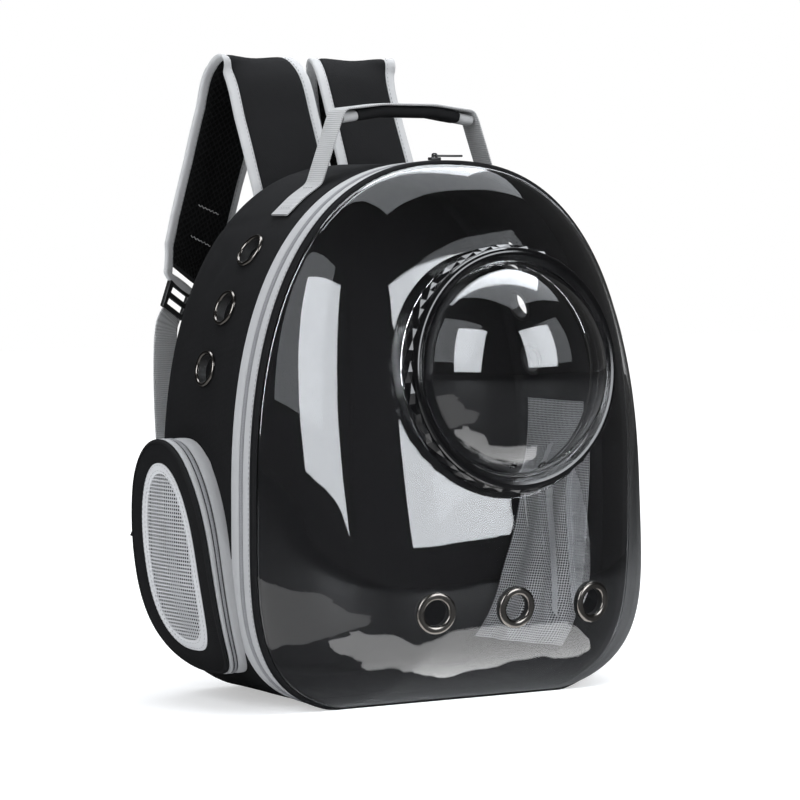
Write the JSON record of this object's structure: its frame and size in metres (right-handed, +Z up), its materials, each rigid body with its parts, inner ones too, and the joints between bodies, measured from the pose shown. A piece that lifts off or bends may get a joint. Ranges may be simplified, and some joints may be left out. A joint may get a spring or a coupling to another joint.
{
  "type": "bubble pet carrier backpack",
  "caption": "Arch-shaped pet carrier backpack with a clear domed front, a screw-ringed bubble window, net side pockets, a carry handle and padded shoulder straps.",
  "frame": {"origin": "middle of the flat fabric base, on its underside", "axes": "+X to the right seen from the front, the clear front faces -Y, +Z up"},
  "size_m": [0.4062, 0.4109, 0.5082],
  "materials": {
    "black_fabric": "black plain-woven polyester",
    "air_mesh": "black spacer mesh over foam",
    "grey_tape": "light grey ribbed zip tape",
    "grey_binding": "light grey stitched edge tape",
    "webbing": "light grey ribbed flat webbing",
    "white_binding": "white stitched edge tape",
    "zip_coil": "black nylon zip coil",
    "strap_fabric": "black strap fabric over foam",
    "white_net": "white open net",
    "inner_net": "dark grey fine net",
    "gloss_ring": "gloss black moulded facets",
    "buckle_plastic": "black moulded plastic",
    "eyelet_metal": "polished gunmetal plating",
    "pull_metal": "black lacquered zinc",
    "clear_plastic": "clear polished plastic sheet"
  },
  "bodies": {
    "backpack": {"side_gusset": "black_fabric", "front_binding": "black_fabric", "handle_grip": "black_fabric", "back_panel": "air_mesh", "zip_tape_rear": "grey_tape", "zip_tape_front": "grey_tape", "handle_webbing": "webbing", "zip_coil": "zip_coil", "clear_shell": "clear_plastic", "bubble_dome": "clear_plastic", "bubble_ring": "gloss_ring", "front_eyelet_left": "eyelet_metal", "front_eyelet_middle": "eyelet_metal", "front_eyelet_right": "eyelet_metal", "side_eyelet_left_upper": "eyelet_metal", "side_eyelet_left_middle": "eyelet_metal", "side_eyelet_left_lower": "eyelet_metal", "pocket_left_tape_inner": "grey_tape", "pocket_left_tape_outer": "grey_tape", "pocket_left_zip_coil": "zip_coil", "pocket_left_piping": "black_fabric", "pocket_left_panel": "black_fabric", "pocket_left_window_binding": "white_binding", "pocket_left_net": "white_net", "inner_net_left": "inner_net", "strap_left_pad": "strap_fabric", "strap_left_binding": "grey_binding", "strap_left_lock": "buckle_plastic", "strap_left_webbing": "webbing", "handle_wrap_left": "grey_binding", "pocket_left_slider": "pull_metal", "side_eyelet_right_upper": "eyelet_metal", "side_eyelet_right_middle": "eyelet_metal", "side_eyelet_right_lower": "eyelet_metal", "pocket_right_tape_inner": "grey_tape", "pocket_right_tape_outer": "grey_tape", "pocket_right_zip_coil": "zip_coil", "pocket_right_piping": "black_fabric", "pocket_right_panel": "black_fabric", "pocket_right_window_binding": "white_binding", "pocket_right_net": "white_net", "inner_net_right": "inner_net", "strap_right_pad": "strap_fabric", "strap_right_binding": "grey_binding", "strap_right_lock": "buckle_plastic", "strap_right_webbing": "webbing", "handle_wrap_right": "grey_binding", "pocket_right_slider": "pull_metal", "main_slider": "pull_metal"},
    "main_pull_body": {"main_pull": "pull_metal"},
    "pocket_left_pull_body": {"pocket_left_pull": "pull_metal"},
    "pocket_right_pull_body": {"pocket_right_pull": "pull_metal"}
  },
  "joints": [
    {"name": "main_pull_hinge", "type": "hinge", "parent": "backpack", "child": "main_pull_body", "pos_m": [-0.00101, -0.059, 0.4251], "axis": [0, -1, 0], "range_deg": [0, 160]},
    {"name": "pocket_left_pull_hinge", "type": "hinge", "parent": "backpack", "child": "pocket_left_pull_body", "pos_m": [-0.1883, 0.07492, 0.14401], "axis": [1, 0, 0], "range_deg": [-35, 125]},
    {"name": "pocket_right_pull_hinge", "type": "hinge", "parent": "backpack", "child": "pocket_right_pull_body", "pos_m": [0.1883, 0.07492, 0.14401], "axis": [1, 0, 0], "range_deg": [-35, 125]}
  ]
}
